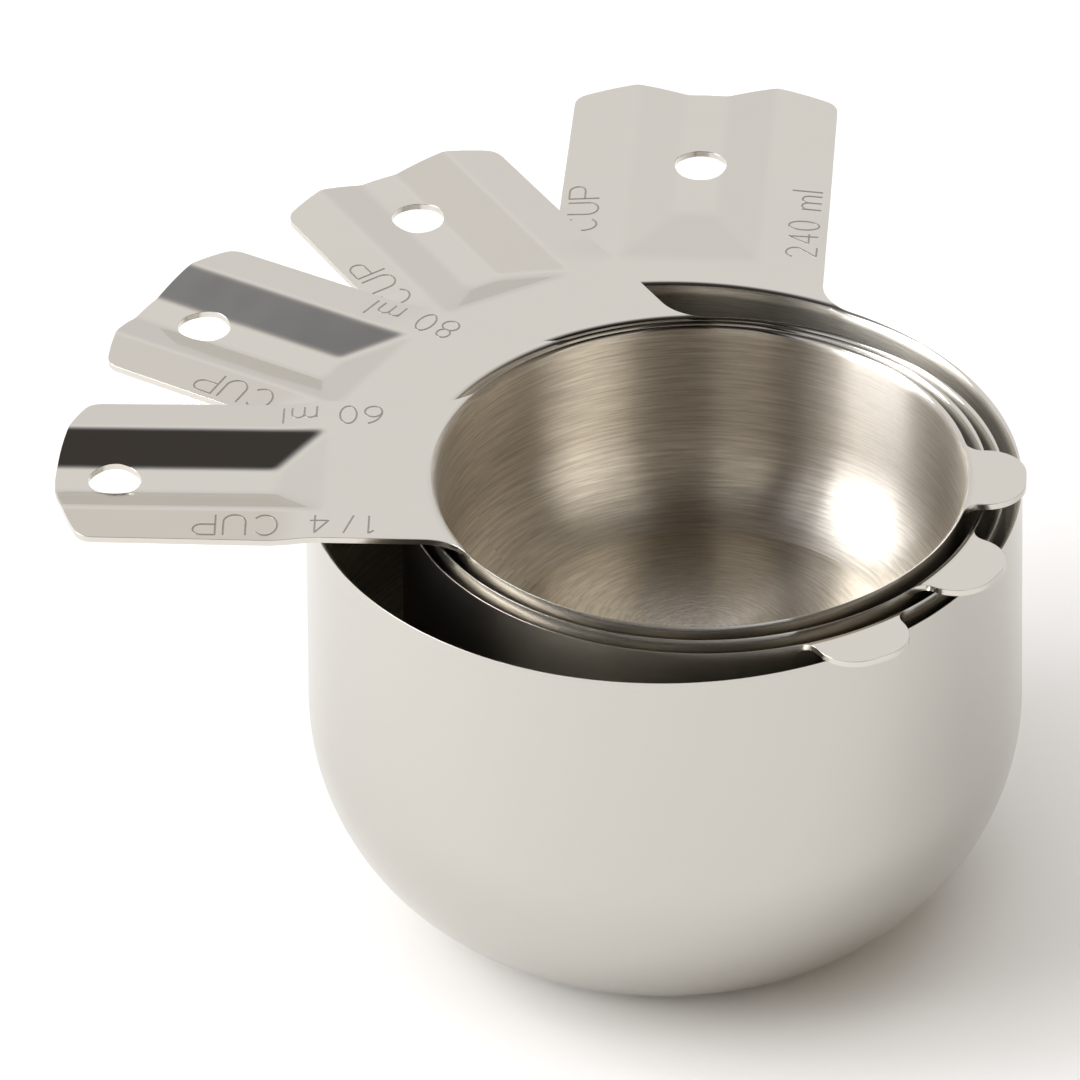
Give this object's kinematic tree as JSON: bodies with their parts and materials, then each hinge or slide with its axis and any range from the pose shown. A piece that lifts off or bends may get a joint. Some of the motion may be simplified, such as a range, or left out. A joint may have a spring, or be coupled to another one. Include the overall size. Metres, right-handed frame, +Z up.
{
  "type": "measuring cup set",
  "caption": "Nested stainless steel measuring cups with wide channelled handles fanned out, hanging holes and finger tabs.",
  "frame": {"origin": "on the table, under the middle of the largest cup's flat base", "axes": "+Z up, +Y along the largest cup's handle; the smaller cups' handles fan round from it towards -X"},
  "size_m": [0.1099, 0.1236, 0.0574],
  "materials": {
    "stainless_steel": "polished handles and rims, satin bowls"
  },
  "bodies": {
    "one_cup": {"one_cup": "stainless_steel"},
    "half_cup": {"half_cup": "stainless_steel"},
    "third_cup": {"third_cup": "stainless_steel"},
    "quarter_cup": {"quarter_cup": "stainless_steel"}
  },
  "joints": [
    {"name": "half_cup_lift", "type": "slide", "parent": "one_cup", "child": "half_cup", "axis": [0, 0, 1], "range_m": [0, 0.048]},
    {"name": "third_cup_lift", "type": "slide", "parent": "half_cup", "child": "third_cup", "axis": [0, 0, 1], "range_m": [0, 0.038]},
    {"name": "quarter_cup_lift", "type": "slide", "parent": "third_cup", "child": "quarter_cup", "axis": [0, 0, 1], "range_m": [0, 0.033]}
  ]
}
